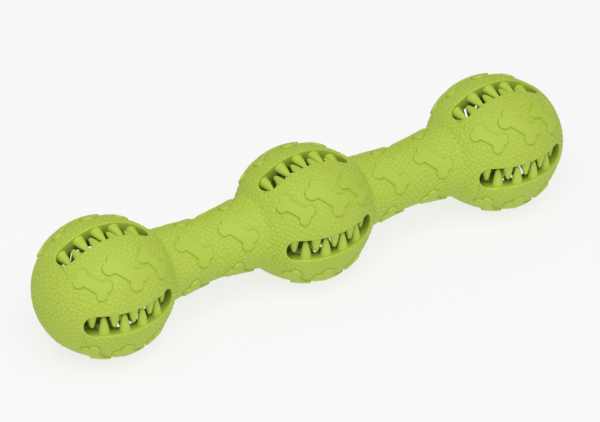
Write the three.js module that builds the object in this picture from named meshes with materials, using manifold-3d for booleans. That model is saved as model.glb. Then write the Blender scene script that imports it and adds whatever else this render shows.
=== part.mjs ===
// Rubber chew toy: three slitted hollow balls in a row, two waisted necks, interleaved tooth combs.
// Millimetres. The long axis runs along X, +Z is up, and the toy rests on the lips of its bottom slits.
import * as THREE from 'three';
import { mergeVertices } from 'three/addons/utils/BufferGeometryUtils.js';
import Module from 'manifold-3d';

const wasm = await Module();
wasm.setup();

// Balls: hollow and a touch longer than round, in a row along X
const BALL_RADIUS = 30;
const BALL_HALF_LENGTH = 31;
const BALL_SPACING = 100.2;
const WALL = 7.2;

// Necks: solid and waisted, with a small fillet where they meet a ball
const NECK_WAIST_RADIUS = 13.7;
const NECK_END_RADIUS = 16.4;
const NECK_FILLET = 1.5;
const NECK_WALL = 2.7;

// Slits: four round each ball, with oval ends; the skin dips towards each slit, less so near the necks
const SLIT_LENGTH = 43.4;
const SLIT_WIDTH = 10.4;
const SLIT_END = 4.2;
const SLIT_DIP = 1.5;
const DIP_FADE = 8;

// Combs: a strip with a row of pointed teeth, bonded behind each lip of a slit
const TEETH = 5;
const TOOTH_WIDTH = 4.9;
const TOOTH_DEPTH = 4.1;
const TOOTH_TIP_WIDTH = 2.2;
const TOOTH_TIP_GAP = 2.2;
const TOOTH_END_MARGIN = 4.8;
const STRIP_THICKNESS = 1;
const STRIP_END = 0.4;
const LIP_SKIN = 0.75;
const BOND_LINE = 0.3;

// Bones: raised figures in rows between the slits, each sized by the distance between its pairs of lobes
const BONE_HEIGHT = 1.1;
const BONE_SLANT = THREE.MathUtils.degToRad(-49);
const BIG_BONE = 13.5;
const SMALL_BONE = 11.3;
const NECK_BONE = 12.2;
const BALL_BONE_PITCH = 14.4;
const BALL_BONE_SHIFT = -0.7;
const NECK_BONE_PITCH = 22.1;

// Facets of the curved faces
const BALL_SIDES = 24;
const BALL_RINGS = 10;
const CAVITY_SIDES = 16;
const CAVITY_RINGS = 6;
const NECK_SIDES = 16;
const NECK_RINGS = 4;
const TOOTH_SIDES = 6;
const LOBE_CHORDS = 3;
const ARC_CHORDS = 2;

// Values that follow from the ones above
const NECK_ROOT_RADIUS = NECK_END_RADIUS + NECK_FILLET;
const NECK_PLANE = BALL_HALF_LENGTH * Math.sqrt(1 - (NECK_ROOT_RADIUS / BALL_RADIUS) ** 2);
const NECK_HALF_LENGTH = BALL_SPACING / 2 - NECK_PLANE - BOND_LINE;
const CAVITY_RADIUS = BALL_RADIUS - WALL;
const CAVITY_HALF_LENGTH = BALL_HALF_LENGTH - WALL;
const CAVITY_END = NECK_PLANE - NECK_WALL;
const LIP = SLIT_WIDTH / 2;
// A slit opens into the chamber as far as both of them reach, and its combs fill that mouth
const MOUTH_HALF_LENGTH = Math.min(SLIT_LENGTH / 2, CAVITY_HALF_LENGTH);
const TOOTH_PITCH = (MOUTH_HALF_LENGTH - TOOTH_END_MARGIN) / ((TEETH - 1) / 2);
const TOOTH_RADIUS = TOOTH_WIDTH / 2;
const TOOTH_HEIGHT = SLIT_WIDTH - TOOTH_TIP_GAP;
const STRIP_HALF_HEIGHT = (WALL - SLIT_DIP) / 2 - LIP_SKIN;
const STRIP_HALF_LENGTH = MOUTH_HALF_LENGTH - TOOTH_END_MARGIN + TOOTH_RADIUS + STRIP_END;
const REBATE_DEPTH = LIP + STRIP_THICKNESS + BOND_LINE;
const BONE_ROOT = WALL - 2 * LIP_SKIN;
const QUARTER = Math.PI / 2;
const SLITS = ['top', 'front', 'bottom', 'back'];

// Closed body of a three.js geometry, welded and without its empty triangles.
function solid(geometry) {
  geometry.deleteAttribute('normal');
  geometry.deleteAttribute('uv');
  const welded = mergeVertices(geometry);
  const corners = welded.index.array;
  const triangles = [];
  for (let i = 0; i < corners.length; i += 3) {
    const [a, b, c] = corners.slice(i, i + 3);
    if (a !== b && b !== c && c !== a) {
      triangles.push(a, b, c);
    }
  }
  return new wasm.Manifold(new wasm.Mesh({
    numProp: 3,
    vertProperties: new Float32Array(welded.attributes.position.array),
    triVerts: new Uint32Array(triangles),
  }));
}

// Shape turned about the long axis from a profile of [place along X, radius] pairs.
function turned(profile, segments) {
  const points = profile.map(([x, radius]) => new THREE.Vector2(radius, x));
  return new THREE.LatheGeometry(points, segments).rotateZ(-QUARTER);
}

// Body extruded upwards from a flat outline, from one height to another.
function extruded(shape, bottom, top) {
  const options = { depth: top - bottom, bevelEnabled: false, curveSegments: ARC_CHORDS };
  const prism = new THREE.ExtrudeGeometry(shape, options);
  prism.translate(0, 0, bottom);
  return prism;
}

function placed(geometry, ...moves) {
  moves.forEach((move) => geometry.applyMatrix4(move));
  return geometry;
}

const shift = (x, y, z) => new THREE.Matrix4().makeTranslation(x, y, z);
const aboutX = (angle) => new THREE.Matrix4().makeRotationX(angle);
const aboutY = (angle) => new THREE.Matrix4().makeRotationY(angle);
const aboutZ = (angle) => new THREE.Matrix4().makeRotationZ(angle);

// Radius of an egg-shaped skin at a place along the long axis.
const eggRadius = (x, halfLength, radius) => radius * Math.sqrt(1 - (x / halfLength) ** 2);

// Depth of the dip in a ball's skin at a radius and an angle from the top.
function dip(radius, angle) {
  const fade = THREE.MathUtils.smoothstep(radius, NECK_ROOT_RADIUS, NECK_ROOT_RADIUS + DIP_FADE);
  return (SLIT_DIP * fade * (1 + Math.cos(4 * angle))) / 2;
}

// Turned skin of a ball, drawn in along each slit.
function dipped(geometry) {
  const place = geometry.attributes.position;
  for (let i = 0; i < place.count; i += 1) {
    const [y, z] = [place.getY(i), place.getZ(i)];
    const radius = Math.hypot(y, z);
    const share = 1 - dip(radius, Math.atan2(y, z)) / Math.max(radius, BOND_LINE);
    place.setXYZ(i, place.getX(i), share * y, share * z);
  }
  return geometry;
}

// Height of the middle of the wall at the lip of a slit, at a place along the long axis.
function lipHeight(x) {
  const outside = eggRadius(x, BALL_HALF_LENGTH, BALL_RADIUS);
  const inside = eggRadius(x, CAVITY_HALF_LENGTH, CAVITY_RADIUS);
  const skin = outside - dip(outside, Math.asin(LIP / outside));
  return (Math.sqrt(skin ** 2 - LIP ** 2) + Math.sqrt(inside ** 2 - LIP ** 2)) / 2;
}

// The same height with its slope, taken over a bond line to either side.
function lipMiddle(x) {
  const slope = (lipHeight(x + BOND_LINE) - lipHeight(x - BOND_LINE)) / (2 * BOND_LINE);
  return { height: lipHeight(x), slope };
}

// Outside of a ball, raised by a height; a neck side ends in a flat face and a free side in a pole.
function ballBody(neckLeft, neckRight, raise = 0) {
  const edge = Math.asin(NECK_ROOT_RADIUS / BALL_RADIUS);
  const first = neckLeft ? edge : 0;
  const last = Math.PI - (neckRight ? edge : 0);
  const profile = [];
  for (let i = 0; i <= BALL_RINGS; i += 1) {
    const t = THREE.MathUtils.lerp(first, last, i / BALL_RINGS);
    profile.push([-(BALL_HALF_LENGTH + raise) * Math.cos(t), (BALL_RADIUS + raise) * Math.sin(t)]);
  }
  if (neckLeft) {
    profile.unshift([profile[0][0], 0]);
  }
  if (neckRight) {
    profile.push([profile.at(-1)[0], 0]);
  }
  return solid(dipped(turned(profile, BALL_SIDES)));
}

// Treat chamber: an egg with flat ends where the necks are.
function cavityBody() {
  const first = Math.acos(CAVITY_END / CAVITY_HALF_LENGTH);
  const profile = [[-CAVITY_END, 0]];
  for (let i = 0; i <= CAVITY_RINGS; i += 1) {
    const t = THREE.MathUtils.lerp(first, Math.PI - first, i / CAVITY_RINGS);
    profile.push([-CAVITY_HALF_LENGTH * Math.cos(t), CAVITY_RADIUS * Math.sin(t)]);
  }
  profile.push([CAVITY_END, 0]);
  return solid(turned(profile, CAVITY_SIDES));
}

// Radius of the neck, from its waist at 0 to its ends at -1 and 1.
const neckRadius = (t) => THREE.MathUtils.lerp(NECK_WAIST_RADIUS, NECK_END_RADIUS, t * t);

// Solid neck, raised by a height: a waist that widens to a filleted root at each ball.
function neckBody(raise = 0) {
  const straight = NECK_HALF_LENGTH - NECK_FILLET;
  const profile = [[-NECK_HALF_LENGTH, 0], [-NECK_HALF_LENGTH, NECK_ROOT_RADIUS + raise]];
  for (let i = 0; i <= NECK_RINGS; i += 1) {
    const t = (2 * i) / NECK_RINGS - 1;
    profile.push([t * straight, neckRadius(t) + raise]);
  }
  profile.push([NECK_HALF_LENGTH, NECK_ROOT_RADIUS + raise], [NECK_HALF_LENGTH, 0]);
  return solid(turned(profile, NECK_SIDES));
}

// Outline of a slit with oval ends, long side along X.
function slitShape() {
  const straight = SLIT_LENGTH / 2 - SLIT_END;
  const shape = new THREE.Shape();
  shape.absellipse(straight, 0, SLIT_END, LIP, -QUARTER, QUARTER, false, 0);
  shape.absellipse(-straight, 0, SLIT_END, LIP, QUARTER, 3 * QUARTER, false, 0);
  return shape;
}

// Curve along the middle of the wall at a lip, X along and Y upwards, raised square to itself by a step.
function lipCurve(places, halfLength, step) {
  return places.map((t) => {
    const { height, slope } = lipMiddle(t * halfLength);
    return new THREE.Vector2(t * halfLength, height + step * Math.hypot(1, slope));
  });
}

// Strip that carries the teeth of a comb.
function stripShape() {
  const places = [-1, -0.6, 0, 0.6, 1];
  const lower = lipCurve(places, STRIP_HALF_LENGTH, -STRIP_HALF_HEIGHT);
  const upper = lipCurve(places, STRIP_HALF_LENGTH, STRIP_HALF_HEIGHT);
  return new THREE.Shape([...lower, ...upper.reverse()]);
}

// Rebate that takes the two strips of a slit, open to the chamber below.
function rebateShape() {
  const places = [-1, -0.8, -0.5, -0.25, 0, 0.25, 0.5, 0.8, 1];
  const end = STRIP_HALF_LENGTH + BOND_LINE;
  const upper = lipCurve(places, end, STRIP_HALF_HEIGHT + BOND_LINE);
  const lower = lipCurve([-1, 1], end, -STRIP_HALF_HEIGHT - BOND_LINE);
  return new THREE.Shape([...lower, ...upper.reverse()]);
}

// Bone outline of four lobes and a shaft, named by the distance between its two pairs of lobes.
function boneShape(span) {
  const lobe = 0.21 * span;
  const spread = 0.17 * span;
  const shaft = 0.205 * span;
  const cleft = Math.asin(spread / lobe);
  const shoulder = Math.PI - Math.asin((shaft - spread) / lobe);
  const lobes = [
    [span / 2, spread, -cleft, shoulder],
    [-span / 2, spread, Math.PI - shoulder, Math.PI + cleft],
    [-span / 2, -spread, Math.PI - cleft, Math.PI + shoulder],
    [span / 2, -spread, -shoulder, cleft],
  ];
  const outline = lobes.flatMap(([x, y, from, to]) => {
    return new THREE.EllipseCurve(x, y, lobe, lobe, from, to).getPoints(LOBE_CHORDS);
  });
  return new THREE.Shape(outline);
}

// Bone prism that stands on a skin at a place along X and leans with the skin.
function bone(span, x, radius, lean, turn) {
  const prism = extruded(boneShape(span), -BONE_ROOT, 3 * BONE_HEIGHT);
  placed(prism, aboutZ(BONE_SLANT), aboutY(lean), shift(x, 0, radius), aboutX(turn));
  return solid(prism);
}

// Four rows of bones between the slits, cut to the raised skin.
function boneRows(row, raisedSkin) {
  const bones = [];
  for (let quarter = 0; quarter < 4; quarter += 1) {
    const turn = (quarter + 0.5) * QUARTER;
    row.forEach(([span, x, radius, lean]) => bones.push(bone(span, x, radius, lean, turn)));
  }
  return wasm.Manifold.union(bones).intersect(raisedSkin);
}

// Hollow ball with four slits, a rebate behind the lips of each, and its raised bones.
function ballShell(neckLeft, neckRight) {
  const cuts = [cavityBody()];
  SLITS.forEach((name, quarter) => {
    const turn = aboutX(quarter * QUARTER);
    const slit = extruded(slitShape(), CAVITY_RADIUS / 3, BALL_RADIUS + WALL);
    const rebate = extruded(rebateShape(), -REBATE_DEPTH, REBATE_DEPTH);
    cuts.push(solid(placed(slit, turn)), solid(placed(rebate, aboutX(QUARTER), turn)));
  });
  const sizes = [[BIG_BONE, 0], [SMALL_BONE, -BALL_BONE_PITCH], [SMALL_BONE, BALL_BONE_PITCH]];
  const row = sizes.map(([span, step]) => {
    const x = step + BALL_BONE_SHIFT;
    const radius = eggRadius(x, BALL_HALF_LENGTH, BALL_RADIUS);
    const lean = Math.atan2(x / BALL_HALF_LENGTH ** 2, radius / BALL_RADIUS ** 2);
    return [span, x, radius, lean];
  });
  const bones = boneRows(row, ballBody(neckLeft, neckRight, BONE_HEIGHT));
  return ballBody(neckLeft, neckRight).subtract(wasm.Manifold.union(cuts)).add(bones);
}

// Neck with two bones in each of its four rows.
function neck() {
  const place = NECK_BONE_PITCH / 2;
  const radius = neckRadius(place / (NECK_HALF_LENGTH - NECK_FILLET));
  const row = [-place, place].map((x) => [NECK_BONE, x, radius, 0]);
  return neckBody().add(boneRows(row, neckBody(BONE_HEIGHT)));
}

// Comb of flattened pointed teeth along +Z on a strip, X along the slit and Y up through the wall.
function comb(teeth) {
  const bodies = [solid(extruded(stripShape(), -STRIP_THICKNESS, 0))];
  const profile = [
    new THREE.Vector2(0, -STRIP_THICKNESS / 2),
    new THREE.Vector2(TOOTH_RADIUS, -STRIP_THICKNESS / 2),
    new THREE.Vector2(TOOTH_TIP_WIDTH / 2, TOOTH_HEIGHT - TOOTH_TIP_WIDTH / 2),
    new THREE.Vector2(0, TOOTH_HEIGHT),
  ];
  const flatten = new THREE.Matrix4().makeScale(1, 1, TOOTH_DEPTH / TOOTH_WIDTH);
  for (let i = 0; i < teeth; i += 1) {
    const x = (i - (teeth - 1) / 2) * TOOTH_PITCH;
    const { height, slope } = lipMiddle(x);
    const tooth = new THREE.LatheGeometry(profile, TOOTH_SIDES);
    placed(tooth, flatten, aboutX(QUARTER), aboutZ(Math.atan(slope)), shift(x, height, 0));
    bodies.push(solid(tooth));
  }
  return wasm.Manifold.union(bodies);
}

// Named mesh of a closed body.
function node(name, body, color) {
  const { vertProperties, triVerts } = body.getMesh();
  const geometry = new THREE.BufferGeometry();
  geometry.setAttribute('position', new THREE.BufferAttribute(vertProperties, 3));
  geometry.setIndex(new THREE.BufferAttribute(triVerts, 1));
  geometry.computeVertexNormals();
  const rubber = new THREE.MeshStandardMaterial({ color, roughness: 0.85, metalness: 0 });
  const mesh = new THREE.Mesh(geometry, rubber);
  mesh.name = name;
  return mesh;
}

const SHELL_COLOR = '#a8c23c';
const NECK_COLOR = '#a2bc3a';
const TOOTH_COLOR = '#b2ca48';

const balls = [
  ['left', ballShell(false, true)],
  ['middle', ballShell(true, true)],
  ['right', ballShell(true, false)],
];
const combs = [
  ['five', comb(TEETH), LIP, 0],
  ['four', comb(TEETH - 1), -LIP, Math.PI],
];

const toy = new THREE.Group();
toy.position.z = -balls[1][1].boundingBox().min[2];

balls.forEach(([side, shell], i) => {
  const ball = new THREE.Group();
  ball.position.x = (i - 1) * BALL_SPACING;
  ball.add(node(`${side}_ball_shell`, shell, SHELL_COLOR));
  SLITS.forEach((slit, quarter) => {
    const lips = new THREE.Group();
    lips.rotation.x = quarter * QUARTER;
    combs.forEach(([teeth, body, y, turn]) => {
      const row = node(`${side}_${slit}_comb_${teeth}`, body, TOOTH_COLOR);
      row.rotation.set(QUARTER, 0, turn, 'ZYX');
      row.position.y = y;
      lips.add(row);
    });
    ball.add(lips);
  });
  toy.add(ball);
});

['left', 'right'].forEach((side, i) => {
  const grip = node(`${side}_neck`, neck(), NECK_COLOR);
  grip.position.x = (i - 0.5) * BALL_SPACING;
  toy.add(grip);
});

const part = new THREE.Group();
part.name = 'dumbbell_dog_toy';
part.add(toy);

export default part;
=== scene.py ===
# %% [markdown]
# # A three-ball rubber chew toy
#
# The toy is one lime-green rubber moulding: three hollow balls in a row, two waisted necks between them,
# four toothed slits in each ball and rows of raised bones. The loaded frame brings the engineering parts,
# which are coarse on purpose. Here each of them gets a smooth skin, and the skins on the balls move with
# the same bodies. Lengths are in millimetres until a mesh is made, because that is how a mould maker would
# write them.

import bpy
import numpy as np
from mathutils import Matrix


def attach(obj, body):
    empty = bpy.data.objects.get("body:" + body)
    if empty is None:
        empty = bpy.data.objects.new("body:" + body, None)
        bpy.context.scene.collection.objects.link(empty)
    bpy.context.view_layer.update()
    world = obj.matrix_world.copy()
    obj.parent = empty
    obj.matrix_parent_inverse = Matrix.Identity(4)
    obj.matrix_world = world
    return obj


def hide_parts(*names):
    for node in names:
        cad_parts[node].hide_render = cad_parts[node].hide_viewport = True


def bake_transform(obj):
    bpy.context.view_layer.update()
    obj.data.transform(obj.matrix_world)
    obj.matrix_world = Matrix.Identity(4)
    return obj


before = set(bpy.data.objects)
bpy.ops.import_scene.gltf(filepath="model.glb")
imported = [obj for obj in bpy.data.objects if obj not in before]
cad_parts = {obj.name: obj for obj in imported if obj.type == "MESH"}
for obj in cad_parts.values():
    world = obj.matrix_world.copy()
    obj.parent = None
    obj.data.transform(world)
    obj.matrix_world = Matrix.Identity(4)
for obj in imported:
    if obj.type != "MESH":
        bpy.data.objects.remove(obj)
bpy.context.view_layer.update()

# %% [markdown]
# ## The outline of the toy
#
# Everything on the toy sits on one turned shape, so one outline is drawn first. A ball is half an ellipse,
# a neck is a shallow hollow curve, and the crease between them is rounded as a mould cutter would leave it.
# The outline could be a Blender curve with a screw modifier. Arrays are used instead, because slits, bones
# and grain all have to ask the outline for its radius and its normal at any place.

# %% Outline
BALL_RADIUS = 30.0
BALL_HALF_LENGTH = 31.0
BALL_SPACING = 100.2
NECK_WAIST_RADIUS = 13.7
NECK_END_RADIUS = 16.4
CREASE_ROUNDING = 1.2
AXIS_HEIGHT = 28.08
OUTLINE_STEP = 0.05

crease = BALL_HALF_LENGTH * np.sqrt(1 - (NECK_END_RADIUS / BALL_RADIUS) ** 2)


def toy_outline():
    """Length along the outline, x and radius there, from the left end to the right end.

    A ball is x = -a cos t, r = b sin t. A neck is the waist radius plus a square of the way to its end.
    Even steps along the line, averaged with a bell-shaped weight, round the creases."""
    edge = np.arcsin(NECK_END_RADIUS / BALL_RADIUS)
    way = np.linspace(-1, 1, 400)
    xs, rs = [], []
    for place in (-1, 0, 1):
        t = np.linspace(0 if place < 0 else edge, np.pi if place > 0 else np.pi - edge, 2000)
        xs.append(place * BALL_SPACING - BALL_HALF_LENGTH * np.cos(t))
        rs.append(BALL_RADIUS * np.sin(t))
        if place < 1:
            xs.append((place + 0.5) * BALL_SPACING + way[1:-1] * (BALL_SPACING / 2 - crease))
            rs.append(NECK_WAIST_RADIUS + (NECK_END_RADIUS - NECK_WAIST_RADIUS) * way[1:-1] ** 2)
    x, r = np.concatenate(xs), np.concatenate(rs)
    run = np.concatenate([[0], np.cumsum(np.hypot(np.diff(x), np.diff(r)))])
    even = np.linspace(0, run[-1], int(run[-1] / OUTLINE_STEP))
    x, r = np.interp(even, run, x), np.interp(even, run, r)
    # Past each end the outline is continued by its mirror image, so the weights always add up to one
    reach = int(4 * CREASE_ROUNDING / OUTLINE_STEP)
    bell = np.exp(-0.5 * (np.arange(-reach, reach + 1) * OUTLINE_STEP / CREASE_ROUNDING) ** 2)
    bell /= bell.sum()
    x = np.convolve(np.concatenate([x[reach:0:-1], x, x[-2:-reach - 2:-1]]), bell, "valid")
    r = np.convolve(np.concatenate([-r[reach:0:-1], r, -r[-2:-reach - 2:-1]]), bell, "valid")
    r[[0, -1]] = 0
    return even, x, r


run_along, outline_x, outline_r = toy_outline()
slope_x = np.gradient(outline_x, run_along)
slope_r = np.gradient(outline_r, run_along)
print("outline is", round(run_along[-1], 1), "mm long")


# %% [markdown]
# ## Places on the skin
#
# A place on the skin is a length along the outline and a turn around the long axis. The turn is zero at
# the top and grows towards the front. A ball isn't quite round: its skin is drawn in a little along each
# slit, and the dip fades out towards the necks. All this works on whole arrays of places.

# %% Points and normals on the skin
SLIT_DIP = 1.5
DIP_START = 17.9
DIP_FADE = 8.0


def dip(r, turn):
    """How far the skin is drawn in: a smooth step of the radius times a wave with a crest at each slit."""
    step = np.clip((r - DIP_START) / DIP_FADE, 0, 1)
    return SLIT_DIP * step ** 2 * (3 - 2 * step) * (1 + np.cos(4 * turn)) / 2


def run_at(x):
    """Length along the outline at a given x."""
    return np.interp(x, outline_x, run_along)


def skin(run, turn):
    """Point at x along the axis and radius r, less the dip, swung around it; and the outward direction."""
    x, r = np.interp(run, run_along, outline_x), np.interp(run, run_along, outline_r)
    nx, nr = -np.interp(run, run_along, slope_r), np.interp(run, run_along, slope_x)
    length = np.hypot(nx, nr)
    nx, nr = nx / length, nr / length
    around = np.stack([0 * turn, -np.sin(turn), np.cos(turn)], -1)
    along = np.array([1.0, 0.0, 0.0])
    return (x[..., None] * along + (r - dip(r, turn))[..., None] * around,
            nx[..., None] * along + nr[..., None] * around)


print("top of the middle ball:", skin(run_at(np.zeros(1)), np.zeros(1))[0].round(2))

# %% [markdown]
# ## Pebbled grain
#
# The mould is etched with a fine pebbled grain, so the rubber grips when it is wet. The grain could be a
# bump in the shader, but real relief keeps its shading in any light and is the same for every program that
# opens the mesh. Seeds are spread over the whole toy on a spiral with some shake, and each point rises with
# the difference between its two nearest seeds: flat on a pebble, low in the grooves between pebbles.

# %% Grain seeds and height
PEBBLE = 2.4
GRAIN_DEPTH = 0.4
GROOVE = 0.6
# Painted shade in the grooves between pebbles: the share of full darkening at a groove's middle
GRAIN_GROOVE_SHADE = 0.18
GRAIN_SHAKE = 0.19
HEXAGON_SHARE = 0.866
LOWEST_PEBBLE = 0.75

chance = np.random.default_rng(5)


def pebble_seeds():
    """Seeds with an equal share of the skin each, turned by the golden angle from one to the next."""
    ring_share = (outline_r[1:] + outline_r[:-1]) * np.pi * np.diff(run_along)
    skin_share = np.concatenate([[0], np.cumsum(ring_share)])
    count = int(skin_share[-1] / (HEXAGON_SHARE * PEBBLE ** 2))
    run = np.interp((np.arange(count) + 0.5) / count * skin_share[-1], skin_share, run_along)
    turn = np.arange(count) * np.pi * (3 - np.sqrt(5))
    shake = chance.normal(0, GRAIN_SHAKE * PEBBLE, (2, count))
    radius = np.maximum(np.interp(run, run_along, outline_r), PEBBLE)
    return skin(np.clip(run + shake[0], 0, run_along[-1]), turn + shake[1] / radius)[0].astype(np.float32)


seeds = pebble_seeds()
seed_lift = chance.uniform(LOWEST_PEBBLE, 1.0, len(seeds)).astype(np.float32)


def grain(points):
    """Height of the grain, and the painted shade in its grooves, from 0 on a pebble to a faint dark line
    between two.

    The gap is the distance to the second nearest seed less that to the nearest. The groove is
    exp(-(gap / width)^2), and the height is the rest of it."""
    flat = points.reshape(-1, 3).astype(np.float32)
    height, groove_and_shade = np.empty((2, len(flat)), np.float32)
    for part in np.array_split(np.argsort(flat[:, 0]), max(1, len(flat) // 1500)):
        low, high = flat[part, 0].min() - 3 * PEBBLE, flat[part, 0].max() + 3 * PEBBLE
        near = np.flatnonzero((seeds[:, 0] > low) & (seeds[:, 0] < high))
        square = ((flat[part] ** 2).sum(1)[:, None] + (seeds[near] ** 2).sum(1)[None]
                  - 2 * flat[part] @ seeds[near].T)
        two = np.argpartition(square, 1, axis=1)[:, :2]
        first, second = np.sqrt(np.maximum(np.take_along_axis(square, two, 1), 0)).T
        groove_and_shade[part] = np.exp(-((second - first) / GROOVE) ** 2)
        height[part] = GRAIN_DEPTH * seed_lift[near][two[:, 0]] * (1 - groove_and_shade[part])
    return height.reshape(points.shape[:-1]), GRAIN_GROOVE_SHADE * groove_and_shade.reshape(points.shape[:-1])


print(len(seeds), "pebbles over the toy")

# %% [markdown]
# ## From grids to a mesh
#
# Each surface is a grid of points. A grid becomes triangles, several grids become one mesh, and points that
# fall on the same spot become one, which closes the seams and the ball ends. Each mesh prints its volume:
# a closed mesh that faces outwards has a positive one.

# %% Mesh from grids
SHARP_ANGLE = np.radians(60)
WELD_DECIMALS = 4


def grid_triangles(rows, columns):
    """Two triangles for each cell of a grid with that many rows and columns of points."""
    corner = (np.arange(rows - 1)[:, None] * columns + np.arange(columns - 1)).ravel()
    right, up, far = corner + 1, corner + columns, corner + columns + 1
    return np.concatenate([np.stack([corner, right, far], -1), np.stack([corner, far, up], -1)])


def with_painted_shade(points, groove_and_shade):
    """Points with a fourth number each: how much painted shade darkens their colour."""
    return np.concatenate([points, np.broadcast_to(groove_and_shade, points.shape[:-1])[..., None]], -1)


def join_grids(grids):
    """Points and triangles of several grids; a grid marked True is turned inside out."""
    points, triangles, start = [], [], 0
    for grid, turned_over in grids:
        rows, columns = grid.shape[:2]
        faces = grid_triangles(rows, columns) + start
        points.append((grid if grid.shape[2] == 4 else with_painted_shade(grid, 0)).reshape(-1, 4))
        triangles.append(faces[:, ::-1] if turned_over else faces)
        start += rows * columns
    return np.concatenate(points), np.concatenate(triangles)


def make_piece(name, grids):
    """One smooth-shaded mesh in metres, standing on the ground, with coincident points joined."""
    points, triangles = join_grids(grids)
    spot, chosen, index = np.unique(np.round(points[:, :3], WELD_DECIMALS), axis=0,
                                    return_index=True, return_inverse=True)
    triangles = index.reshape(-1)[triangles]
    a, b, c = triangles.T
    triangles = triangles[(a != b) & (b != c) & (c != a)]
    corner = spot[triangles]
    volume = (corner[:, 0] * np.cross(corner[:, 1], corner[:, 2])).sum() / 6
    place = (spot + [0, 0, AXIS_HEIGHT]) * 0.001
    mesh = bpy.data.meshes.new(name)
    mesh.vertices.add(len(place))
    mesh.vertices.foreach_set("co", place.astype(np.float32).ravel())
    mesh.loops.add(triangles.size)
    mesh.loops.foreach_set("vertex_index", triangles.astype(np.int32).ravel())
    mesh.polygons.add(len(triangles))
    mesh.polygons.foreach_set("loop_start", np.arange(0, triangles.size, 3, dtype=np.int32))
    mesh.update(calc_edges=True)
    mesh.shade_smooth()
    mesh.set_sharp_from_angle(angle=SHARP_ANGLE)
    # The fourth number of each point is stored as the painted-shade attribute of the mesh
    shade = mesh.attributes.new("groove_and_shade", "FLOAT", "POINT")
    shade.data.foreach_set("value", points[chosen, 3].astype(np.float32))
    piece = bpy.data.objects.new(name, mesh)
    bpy.context.scene.collection.objects.link(piece)
    print(f"{name}: {len(triangles)} triangles, {volume / 1000:.1f} cm3")
    return piece


# %% [markdown]
# ## Rubber
#
# All pieces are the same natural rubber, pigmented lime green and pressed in a heated mould. The mould
# grain makes it matt. The pigment varies a little over a few centimetres, which is mixed in as a faint
# mottle. The teeth are the same stuff, only smoother, as they never meet the etched mould face.
# Each point of a mesh carries a number for how much darker its colour is painted: a line between two
# pebbles a little, the foot of a bone more, and the lining of a chamber most of all. On the bone tops it is
# a slight even darkening; everywhere else it is painted shade, for the shade that falls in grooves, in
# corners and inside the ball.

# %% Material helpers
# Colour factor where the painted shade is full
GROOVE_SHADE = 0.58


def linear(code):
    """sRGB hex colour as linear red, green, blue and one for alpha."""
    value = np.array([int(code[i:i + 2], 16) for i in (1, 3, 5)]) / 255
    bright = np.where(value <= 0.04045, value / 12.92, ((value + 0.055) / 1.055) ** 2.4)
    return (*bright, 1.0)


def node(tree, kind, settings=None, links=None):
    """Add a node, set the named inputs, and link the named inputs to sockets of earlier nodes."""
    made = tree.nodes.new(kind)
    for key, value in (settings or {}).items():
        made.inputs[key].default_value = value
    for key, socket in (links or {}).items():
        tree.links.new(socket, made.inputs[key])
    return made


def rubber(name, light, dark, roughness):
    """Pressed rubber: a dull highlight over a pigment that wanders between two close greens."""
    material = bpy.data.materials.new(name)
    material.use_nodes = True
    tree = material.node_tree
    tree.nodes.clear()
    place = node(tree, "ShaderNodeTexCoord")
    # A mottle about 40 mm across: Noise Scale counts waves in each metre of the object
    mottle = node(tree, "ShaderNodeTexNoise", {"Scale": 1 / 0.04, "Detail": 2.0},
                  {"Vector": place.outputs["Object"]})
    pigment = node(tree, "ShaderNodeValToRGB", links={"Fac": mottle.outputs["Fac"]})
    pigment.color_ramp.elements[0].position, pigment.color_ramp.elements[1].position = 0.35, 0.65
    pigment.color_ramp.elements[0].color = linear(dark)
    pigment.color_ramp.elements[1].color = linear(light)
    # Painted shade: the number darkens the pigment, so the shade in grooves draws the pebbles and the bones
    # as thin darker lines, and the chamber lining is darker still
    groove_and_shade = node(tree, "ShaderNodeAttribute")
    groove_and_shade.attribute_name = "groove_and_shade"
    value = node(tree, "ShaderNodeMapRange", {"To Min": 1.0, "To Max": GROOVE_SHADE},
                 {"Value": groove_and_shade.outputs["Fac"]})
    colour = node(tree, "ShaderNodeHueSaturation",
                  links={"Color": pigment.outputs["Color"], "Value": value.outputs["Result"]})
    # Rubber has an index near 1.52, and its moulded face scatters the highlight widely
    surface = node(tree, "ShaderNodeBsdfPrincipled",
                   {"Roughness": roughness, "IOR": 1.52}, {"Base Color": colour.outputs["Color"]})
    node(tree, "ShaderNodeOutputMaterial", links={"Surface": surface.outputs["BSDF"]})
    return material


grained_rubber = rubber("pressed rubber, grained", "#b3ca43", "#afc63f", 0.62)
smooth_rubber = rubber("pressed rubber, smooth", "#b7cd47", "#b3c943", 0.55)
print("materials:", grained_rubber.name, "and", smooth_rubber.name)

# %% [markdown]
# ## Where the bones lie
#
# A row of raised bones runs along each of the four panels, leaning all the same way: one large and two
# small on a ball, two on a neck. Their places are needed before the skins, because the etching of the mould
# stops short of each bone and leaves a narrow smooth margin. The margin is found from the distance to the
# bone laid flat.

# %% Bone layout
BONE_HEIGHT = 1.1
BONE_SLANT = np.radians(49)
BONE_LOBE = 0.21
BONE_SPREAD = 0.17
BONE_SHAFT = 0.205
BIG_BONE = 13.5
SMALL_BONE = 11.3
NECK_BONE = 12.2
BALL_BONE_PITCH = 14.4
BALL_BONE_SHIFT = -0.7
NECK_BONE_PITCH = 22.1
BONE_MARGIN = 0.5

ball_row = ((BIG_BONE, 0), (SMALL_BONE, -BALL_BONE_PITCH), (SMALL_BONE, BALL_BONE_PITCH))
ball_bone_places = {place: [(span, place * BALL_SPACING + BALL_BONE_SHIFT + step)
                            for span, step in ball_row] for place in (-1, 0, 1)}
neck_bone_places = {side: [(NECK_BONE, (side * BALL_SPACING + way * NECK_BONE_PITCH) / 2)
                           for way in (-1, 1)] for side in (-1, 1)}


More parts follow.
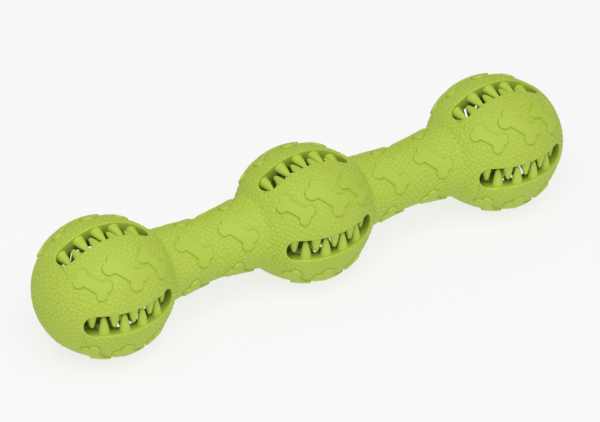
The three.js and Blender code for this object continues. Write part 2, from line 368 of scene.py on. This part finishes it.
def bone_distance(run, turn, places):
    """Distance from the nearest bone: the least of the distances from its four round lobes and its shaft.

    The skin around a bone is laid flat and turned back by the slant, so the bone lies straight."""
    quarter = (turn % (np.pi / 2) - np.pi / 4) * np.interp(run, run_along, outline_r)
    nearest = np.full(run.shape, 99.0)
    for span, x in places:
        step = run - run_at(x)
        long = np.abs(np.cos(BONE_SLANT) * step + np.sin(BONE_SLANT) * quarter)
        wide = np.abs(np.sin(BONE_SLANT) * step - np.cos(BONE_SLANT) * quarter)
        lobe = np.hypot(long - span / 2, wide - BONE_SPREAD * span) - BONE_LOBE * span
        shaft = np.hypot(np.maximum(long - span / 2, 0), np.maximum(wide - BONE_SHAFT * span, 0))
        nearest = np.minimum(nearest, np.minimum(lobe, shaft))
    return np.maximum(nearest, 0)


bone_rows = (*ball_bone_places.values(), *neck_bone_places.values())
print(sum(4 * len(row) for row in bone_rows), "bones on the toy")

# %% [markdown]
# ## Ball skins
#
# Each ball is a hollow egg with four slits from end to end, set at quarter turns. Cutting the slits with a
# boolean would leave ragged edges in the grain. So the grid itself is parted: its lines open around each
# slit like wood grain around a knot, and the lip walls are strips between the outer and the inner edge.
# The lips are rounded, because a sharp rubber edge would tear, and the grain stops just short of them.

# %% Slit outline
SLIT_LENGTH = 43.4
SLIT_WIDTH = 10.4
SLIT_END = 4.2
LIP_ROUNDING = 0.25
RIM_BAND = 0.1
RIM_FADE = 0.5
LINING_ROUNDING = 0.8
# Painted shade on the chamber lining and the inner part of the lip walls, for the shade inside the ball
LINING_SHADE = 1.0
CHAMBER_RADIUS = 22.8
CHAMBER_HALF_LENGTH = 23.8
FINE = 0.42

lip = SLIT_WIDTH / 2
slit_straight = SLIT_LENGTH / 2 - SLIT_END
bow = np.linspace(0, np.pi / 2, 15)
slit_x = np.concatenate([-slit_straight - SLIT_END * np.cos(bow),
                         np.linspace(-slit_straight, slit_straight, int(2 * slit_straight / FINE))[1:-1],
                         slit_straight + SLIT_END * np.sin(bow)])


def half_opening(x):
    """Half the slit's width at x: constant along the straight part, half an ellipse at each end."""
    past = np.clip((np.abs(x) - slit_straight) / SLIT_END, 0, 1)
    return np.where(past > 1 - 1e-9, 0, lip * np.sqrt(1 - past ** 2))


def lip_distance(points):
    """Distance from the rim of the nearest slit, seen along the slit's own direction.

    Where the ends are oval, the distance is scaled with the oval."""
    x, y, z = points[..., 0], points[..., 1], points[..., 2]
    across = np.minimum(np.abs(y), np.abs(z))
    return lip * (np.hypot(np.maximum(np.abs(x) - slit_straight, 0) / SLIT_END, across / lip) - 1)


def edge_drop(distance, rounding):
    """How far a quarter-round edge falls at that distance from the rim."""
    left = np.clip(rounding - distance, 0, rounding)
    return rounding - np.sqrt(rounding ** 2 - left ** 2)


print("slit grid has", len(slit_x), "rows")

# %% Panel columns
panel_arc = BALL_RADIUS * (np.pi / 2 - 2 * np.arcsin(lip / BALL_RADIUS))
rim_steps = np.array([0, 0.02, 0.07, 0.15, 0.27, 0.55, 0.95])
panel_columns = np.concatenate([rim_steps, np.arange(1.35, panel_arc - 1.1, FINE),
                                panel_arc - rim_steps[::-1]]) / panel_arc
lining_columns = np.concatenate([[0, 0.01, 0.03, 0.06], np.linspace(0.1, 0.9, 9), [0.94, 0.97, 0.99, 1]])


def panel_turns(opening, radius, columns, quarter):
    """Turns across one panel at each row, from the rim of one slit to the rim of the next."""
    rim = np.arcsin(np.clip(opening / np.maximum(radius, 1e-6), 0, 1))[:, None]
    return quarter * np.pi / 2 + rim + columns * (np.pi / 2 - 2 * rim)


print(len(panel_columns), "columns across a panel")


# %% Rows of a ball
def ball_rows(middle, left_x, right_x):
    """Lengths along the outline for the rows of a ball, fine steps with the slit's own rows between them,
    the half opening of the slit at each row, and which rows belong to the slit."""
    first, last = run_at(middle - SLIT_LENGTH / 2), run_at(middle + SLIT_LENGTH / 2)
    start, end = run_at(left_x), run_at(right_x)
    before = np.linspace(start, first, int((first - start) / FINE))[:-1]
    after = np.linspace(last, end, int((end - last) / FINE))[1:]
    rows = np.concatenate([before, run_at(middle + slit_x), after])
    opening = np.concatenate([0 * before, half_opening(slit_x), 0 * after])
    return rows, opening, slice(len(before), len(before) + len(slit_x))


def lining_rows():
    """The same for the chamber: x, radius and half opening of its rows, an ellipse closed at both ends."""
    cap = np.linspace(0, np.arccos(SLIT_LENGTH / 2 / CHAMBER_HALF_LENGTH), 8)[:-1]
    cap_x = CHAMBER_HALF_LENGTH * np.cos(cap)
    x = np.concatenate([-cap_x, slit_x, cap_x[::-1]])
    radius = CHAMBER_RADIUS * np.sqrt(np.maximum(1 - (x / CHAMBER_HALF_LENGTH) ** 2, 0))
    opening = np.concatenate([0 * cap, half_opening(slit_x), 0 * cap])
    return x, radius, opening, slice(len(cap), len(cap) + len(slit_x))


print("a ball has", len(ball_rows(0, -crease, crease)[0]), "rows outside and",
      len(lining_rows()[0]), "inside")

# %% Ball skins
WALL_STEPS = 9
CONE_TIP = 0.99


def outer_panel(rows, opening, place, quarter):
    """Skin points between two slits: outline point plus grain, less the fall of the rounded lip."""
    radius = np.maximum(np.interp(rows, run_along, outline_r), 1e-6)
    radius = radius - dip(radius, np.arcsin(np.clip(opening / radius, 0, 1)))
    turns = panel_turns(opening, radius, panel_columns, quarter)
    points, outward = skin(np.broadcast_to(rows[:, None], turns.shape), turns)
    rim = lip_distance(points - [place * BALL_SPACING, 0, 0])
    margin = bone_distance(*np.broadcast_arrays(rows[:, None], turns), ball_bone_places[place])
    share = np.clip((rim - RIM_BAND) / RIM_FADE, 0, 1) * np.clip(margin / BONE_MARGIN - 1, 0, 1)
    height, groove_and_shade = grain(points)
    raised = height * share - edge_drop(rim, LIP_ROUNDING)
    # The grain's groove lines are painted shade, faded out with the grain near the lips and the bones
    return with_painted_shade(points + raised[..., None] * outward, groove_and_shade * share)


def lining_panel(x, radius, opening, middle, quarter):
    """Chamber points between two slits: an ellipse swung around the axis, with its edges rounded."""
    turns = panel_turns(opening, radius, lining_columns, quarter)
    around = np.stack([0 * turns, -np.sin(turns), np.cos(turns)], -1)
    points = np.stack([x, 0 * x, 0 * x], -1)[:, None] + radius[:, None, None] * around
    points = points + edge_drop(lip_distance(points), LINING_ROUNDING)[..., None] * around + middle
    # The whole lining is painted in full shade, for the dark inside of the ball
    return with_painted_shade(points, LINING_SHADE)


def ball_skin(name, place, left_neck, right_neck):
    """Outer panels, lip walls from the outer to the inner rims, chamber lining, a cone behind each neck."""
    middle = np.array([place * BALL_SPACING, 0, 0])
    ends = [-crease if left_neck else -BALL_HALF_LENGTH, crease if right_neck else BALL_HALF_LENGTH]
    rows, opening, slit = ball_rows(middle[0], middle[0] + ends[0], middle[0] + ends[1])
    lining = lining_rows()
    depth = np.linspace(0, 1, WALL_STEPS)[:, None]
    grids = []
    for quarter in range(4):
        outer = outer_panel(rows, opening, place, quarter)
        inner = lining_panel(*lining[:3], middle, quarter)
        grids += [(outer, False), (inner, True)]
        for column, turned_over in ((0, True), (-1, False)):
            wall = outer[slit, None, column, :3] * (1 - depth) + inner[lining[3], None, column, :3] * depth
            # The lip walls are painted in shade that deepens towards the chamber
            grids.append((with_painted_shade(wall, LINING_SHADE * depth[:, 0]), turned_over))
        first, last = outer[0, :, :3], outer[-1, :, :3]
        left_tip, right_tip = (np.broadcast_to(middle + [end * CONE_TIP, 0, 0], first.shape)
                               for end in ends)
        grids += [(np.stack([left_tip, first]), False)] if left_neck else []
        grids += [(np.stack([last, right_tip]), False)] if right_neck else []
    return make_piece(name, grids)


balls = {"left": ball_skin("left_ball_skin", -1, False, True),
         "middle": ball_skin("middle_ball_skin", 0, True, True),
         "right": ball_skin("right_ball_skin", 1, True, False)}

# %% [markdown]
# ## Necks
#
# A neck is the solid waist between two balls and the place where the toy flexes. Its skin starts and ends
# on the very points of the ball skins, so no seam shows.

# %% Neck skins
def neck_skin(name, side):
    """Outline from one crease to the next, swung all the way round, plus grain, with a cone in each end."""
    middle = side * BALL_SPACING / 2
    half = BALL_SPACING / 2 - crease
    rows = np.linspace(run_at(middle - half), run_at(middle + half), int(2 * half / FINE))
    turns = np.concatenate([(quarter + panel_columns) * np.pi / 2 for quarter in range(4)])
    points, outward = skin(*np.broadcast_arrays(rows[:, None], turns))
    margin = bone_distance(*np.broadcast_arrays(rows[:, None], turns), neck_bone_places[side])
    share = np.clip(margin / BONE_MARGIN - 1, 0, 1)
    height, groove_and_shade = grain(points)
    # The grain's groove lines are painted shade here as well
    points = with_painted_shade(points + (height * share)[..., None] * outward, groove_and_shade * share)
    tips = [np.broadcast_to([middle + way * half * CONE_TIP, 0, 0, 0], points[:1].shape)
            for way in (-1, 1)]
    return make_piece(name, [(np.concatenate([tips[0], points, tips[1]]), False)])


necks = {"left": neck_skin("left_neck_skin", -1), "right": neck_skin("right_neck_skin", 1)}

# %% [markdown]
# ## Raised bones
#
# In the mould the bones are polished pockets, so they come out smooth and sharp-edged among the grain.
# Each is a stack of rings: the outline, drawn in towards its middle line for the flat top, let down with a
# little draft for the side, and spread at the foot, where painted shade draws the corner with the skin as a
# thin dark line.

# %% Bone outline
BONE_STEPS = 132


def bone_outline(span):
    """Two lobes at each end of a straight shaft, as even steps around the edge with softened corners."""
    lobe, spread, shaft = BONE_LOBE * span, BONE_SPREAD * span, BONE_SHAFT * span
    cleft = np.arcsin(np.clip(spread / lobe, -1, 1))
    foot = np.arcsin((spread - shaft) / lobe)
    swing = np.linspace(-cleft, np.pi + foot, 90)
    upper = np.stack([span / 2 + lobe * np.cos(swing), spread + lobe * np.sin(swing)], -1)
    right = np.concatenate([upper[::-1] * [1, -1], upper])
    ring = np.concatenate([right, -right])
    ring = np.concatenate([ring, ring[:1]])
    run = np.concatenate([[0], np.cumsum(np.hypot(*np.diff(ring, axis=0).T))])
    even = np.linspace(0, run[-1], BONE_STEPS, endpoint=False)
    ring = np.stack([np.interp(even, run, ring[:, 0]), np.interp(even, run, ring[:, 1])], -1)
    return (np.roll(ring, 1, 0) + 2 * ring + np.roll(ring, -1, 0)) / 4


print("big bone is", np.ptp(bone_outline(BIG_BONE), axis=0).round(1), "mm long and wide")

# %% Bone pieces
# From the middle line outwards: how far a ring is drawn in, its share of the height, how much darker it is
# painted (a little on the top, painted shade at the foot)
BONE_RINGS = np.array([
    (1, 1, 0.1), (0.8, 1, 0.1), (0.6, 1, 0.1), (0.4, 1, 0.1), (0.22, 1, 0.1), (0.1, 1, 0.1),
    (0.06, 0.995, 0.1), (0.03, 0.97, 0.1), (0.012, 0.92, 0.1), (0.002, 0.84, 0.1), (-0.01, 0.76, 0),
    (-0.05, 0.3, 0), (-0.075, 0.1, 0.6), (-0.11, 0.05, 0.6), (-0.12, 0.04, 0.2), (-0.13, -0.5, 0.2)])
MIDDLE_LINE = 0.9


def bone_grid(span, x, turn):
    """Rings from the middle line to the edge and down the side, leaned, laid on the skin and raised."""
    edge = bone_outline(span)
    line = np.stack([np.clip(edge[:, 0], -span / 2, span / 2) * MIDDLE_LINE, 0 * edge[:, 0]], -1)
    drawn, raised, groove_and_shade = BONE_RINGS.T
    flat = edge + drawn[:, None, None] * (line - edge)
    along = np.cos(BONE_SLANT) * flat[..., 0] + np.sin(BONE_SLANT) * flat[..., 1]
    around = np.sin(BONE_SLANT) * flat[..., 0] - np.cos(BONE_SLANT) * flat[..., 1]
    run = run_at(x) + along
    points, outward = skin(run, turn + around / np.interp(run, run_along, outline_r))
    # The third column is painted shade at the foot of the bone and a slight even darkening on its top
    points = with_painted_shade(points + BONE_HEIGHT * raised[:, None, None] * outward, groove_and_shade[:, None])
    return np.concatenate([points, points[:, :1]], axis=1)


def bones(name, places):
    """Bones of given spans at given x on all four panels, as one piece."""
    quarters = (np.arange(4) + 0.5) * np.pi / 2
    return make_piece(name, [(bone_grid(span, x, turn), True) for span, x in places for turn in quarters])


ball_bones = {side: bones(side + "_ball_bones", ball_bone_places[place])
              for side, place in (("left", -1), ("middle", 0), ("right", 1))}
neck_bones = {side: bones(side + "_neck_bones", neck_bone_places[place])
              for side, place in (("left", -1), ("right", 1))}

# %% [markdown]
# ## Tooth combs
#
# Two rows of soft teeth reach across every slit from opposite lips, five against four, like the fingers of
# folded hands. They hold a treat in and scrape the dog's teeth. A tooth is a rounded cone with a flared
# root, a little thinner through the wall than along the slit, and its root is let into the lip.

# %% Tooth shape
TEETH = 5
TOOTH_WIDTH = 4.9
TOOTH_DEPTH = 4.1
TOOTH_TIP_WIDTH = 2.2
TOOTH_TIP_GAP = 2.2
TOOTH_END_MARGIN = 4.8
TOOTH_ROOT = 0.8
TAPER_BOW = 1.4
ROOT_FLARE = 0.12
FLARE_FADE = 0.5
TOOTH_RINGS = 22
TOOTH_SIDES = 24

tooth_height = SLIT_WIDTH - TOOTH_TIP_GAP
tooth_pitch = (SLIT_LENGTH / 2 - TOOTH_END_MARGIN) / ((TEETH - 1) / 2)


def wall_middle(x):
    """Height of the middle of the wall at a lip: the mean of its outer and its inner edge."""
    outside, inside = (radius * np.sqrt(1 - (x / half_length) ** 2) for half_length, radius in
                       ((BALL_HALF_LENGTH, BALL_RADIUS), (CHAMBER_HALF_LENGTH, CHAMBER_RADIUS)))
    skin_radius = outside - dip(outside, np.arcsin(lip / outside))
    return (np.sqrt(skin_radius ** 2 - lip ** 2) + np.sqrt(inside ** 2 - lip ** 2)) / 2


def tooth_grid(x, side):
    """A tooth of the top slit: its width falls from root to shoulder, slowly at first, and ends half round.

    Its section is an oval that lies along the wall, so it turns with the slope of the wall's middle."""
    rise = np.linspace(0, np.pi / 2, TOOTH_RINGS)
    height = np.concatenate([[-TOOTH_ROOT], tooth_height * np.sin(rise)])
    share = np.clip(height / tooth_height, 0, 1)
    shoulder = 1 - TOOTH_TIP_WIDTH / 2 / tooth_height
    past = np.clip((share - shoulder) / (1 - shoulder), 0, 1)
    taper = 1 - (1 - TOOTH_TIP_WIDTH / TOOTH_WIDTH) * (share / shoulder) ** TAPER_BOW
    flare = ROOT_FLARE * np.exp(-np.maximum(height, 0) / FLARE_FADE) * (share < 1)
    slim = taper * np.sqrt(1 - past ** 2) + flare
    swing = np.linspace(0, 2 * np.pi, TOOTH_SIDES + 1)
    middle = wall_middle(x)
    lean = np.arctan((wall_middle(x + 0.1) - wall_middle(x - 0.1)) / 0.2)
    wide = TOOTH_WIDTH / 2 * slim[:, None] * np.cos(swing)
    deep = TOOTH_DEPTH / 2 * slim[:, None] * np.sin(swing)
    points = np.stack([x + wide * np.cos(lean) - deep * np.sin(lean),
                       side * (lip - height[:, None]) + 0 * wide,
                       middle + wide * np.sin(lean) + deep * np.cos(lean)], -1)
    root = np.broadcast_to([x, side * (lip + TOOTH_ROOT), middle], points[:1].shape)
    return np.concatenate([root, points])


print("teeth are", round(tooth_height, 2), "mm long and", round(tooth_pitch, 2), "mm apart")


# %% Tooth combs
def comb(name, place, turn, count, side):
    """A row of teeth on one lip of the top slit, swung to its own slit and moved to its ball."""
    swing = np.array([[1, 0, 0], [0, np.cos(turn), np.sin(turn)], [0, -np.sin(turn), np.cos(turn)]])
    spots = (np.arange(count) - (count - 1) / 2) * tooth_pitch
    return make_piece(name, [(tooth_grid(x, side) @ swing + [place * BALL_SPACING, 0, 0], side > 0)
                             for x in spots])


combs = {}
for ball, place in (("left", -1), ("middle", 0), ("right", 1)):
    for quarter, slit_name in enumerate(("top", "front", "bottom", "back")):
        for word, count, side in (("five", TEETH, 1), ("four", TEETH - 1, -1)):
            combs[ball, slit_name, word] = comb(f"{ball}_{slit_name}_teeth_{word}", place,
                                                quarter * np.pi / 2, count, side)

# %% [markdown]
# ## Hanging the skins on the frame
#
# Each skin takes the place of its engineering part. The balls, their bones and their teeth move with that
# part's body: the end balls ride on their own bodies, the middle ball on the root. The necks and their
# bones are not given a body.

# %% Bodies, stand-ins and finishes
bodies = {"left": "left_end", "middle": "middle", "right": "right_end"}

for ball, body in bodies.items():
    for piece in (balls[ball], ball_bones[ball]):
        piece.data.materials.append(grained_rubber)
        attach(piece, body)
    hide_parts(f"{ball}_ball_shell")

for side, way in (("left", -1), ("right", 1)):
    for piece in (necks[side], neck_bones[side]):
        piece.data.materials.append(grained_rubber)
        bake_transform(piece)
    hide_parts(f"{side}_neck")

for (ball, slit_name, word), piece in combs.items():
    piece.data.materials.append(smooth_rubber)
    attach(piece, bodies[ball])
    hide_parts(f"{ball}_{slit_name}_comb_{word}")
print(len(combs), "combs, 3 balls and 2 necks hung on the frame")

# %% [markdown]
# ## Studio
#
# The photograph is a catalogue picture: white ground, light from all round, hardly a shadow. A floor that
# glows white under a bright sky gives the even light, and one large soft lamp above gives the balls their
# roundness. The floor lies a hair lower than the parts do, because the grain stands a little proud of them.

# %% Floor, sky and lamp
FLOOR_REACH = 6.0
FLOOR_LEVEL = -0.0006

floor_corners = [(x * FLOOR_REACH, y * FLOOR_REACH, FLOOR_LEVEL)
                 for x, y in ((-1, -1), (1, -1), (1, 1), (-1, 1))]
floor_mesh = bpy.data.meshes.new("floor")
floor_mesh.from_pydata(floor_corners, [], [(0, 1, 2, 3)])
floor = bpy.data.objects.new("floor", floor_mesh)
paper = bpy.data.materials.new("white paper ground")
paper.use_nodes = True
paper_face = paper.node_tree.nodes["Principled BSDF"]
paper_face.inputs["Base Color"].default_value = linear("#707070")
paper_face.inputs["Roughness"].default_value = 0.9
paper_face.inputs["Emission Color"].default_value = (1.0, 1.0, 1.0, 1.0)
paper_face.inputs["Emission Strength"].default_value = 0.77
floor_mesh.materials.append(paper)
bpy.context.scene.collection.objects.link(floor)

sky = bpy.data.worlds.new("studio sky")
sky.use_nodes = True
sky.node_tree.nodes["Background"].inputs["Color"].default_value = (1.0, 1.0, 1.0, 1.0)
sky.node_tree.nodes["Background"].inputs["Strength"].default_value = 0.45
bpy.context.scene.world = sky

lamp_light = bpy.data.lights.new("soft lamp", "AREA")
lamp_light.size = 1.4
lamp_light.energy = 18.0
lamp = bpy.data.objects.new("soft lamp", lamp_light)
lamp.location = (-0.35, -0.65, 1.4)
lamp.rotation_euler = (np.radians(27.8), 0, np.radians(-28.3))
bpy.context.scene.collection.objects.link(lamp)
bpy.context.scene.view_settings.view_transform = "Standard"
print("studio ready")

# %% [markdown]
# ## Camera
#
# The picture was taken from the left front and above, through a long lens: the far ball is only a little
# smaller than the near one. The camera's three directions and its place come from fitting the three balls'
# outlines, the slits and the bones in the photograph.

# %% Camera
CAMERA_PLACE = (-753.9, -1214.1, 1051.1)
CAMERA_RIGHT = np.array([0.84733, -0.53086, -0.00737])
CAMERA_FORWARD = np.array([0.42825, 0.69124, -0.58167])
LENS = 241.93

forward = CAMERA_FORWARD / np.linalg.norm(CAMERA_FORWARD)
right = CAMERA_RIGHT - forward * (CAMERA_RIGHT @ forward)
right /= np.linalg.norm(right)
camera_data = bpy.data.cameras.new("camera")
camera_data.lens = LENS
camera_data.sensor_width = 36.0
camera = bpy.data.objects.new("camera", camera_data)
pose = np.eye(4)
pose[:3, 0], pose[:3, 1], pose[:3, 2] = right, np.cross(right, forward), -forward
pose[:3, 3] = np.array(CAMERA_PLACE) / 1000
camera.matrix_world = Matrix(pose.tolist())
camera_data.clip_end = 20.0
bpy.context.scene.collection.objects.link(camera)
bpy.context.scene.camera = camera
print("camera", [round(v, 3) for v in camera.location])
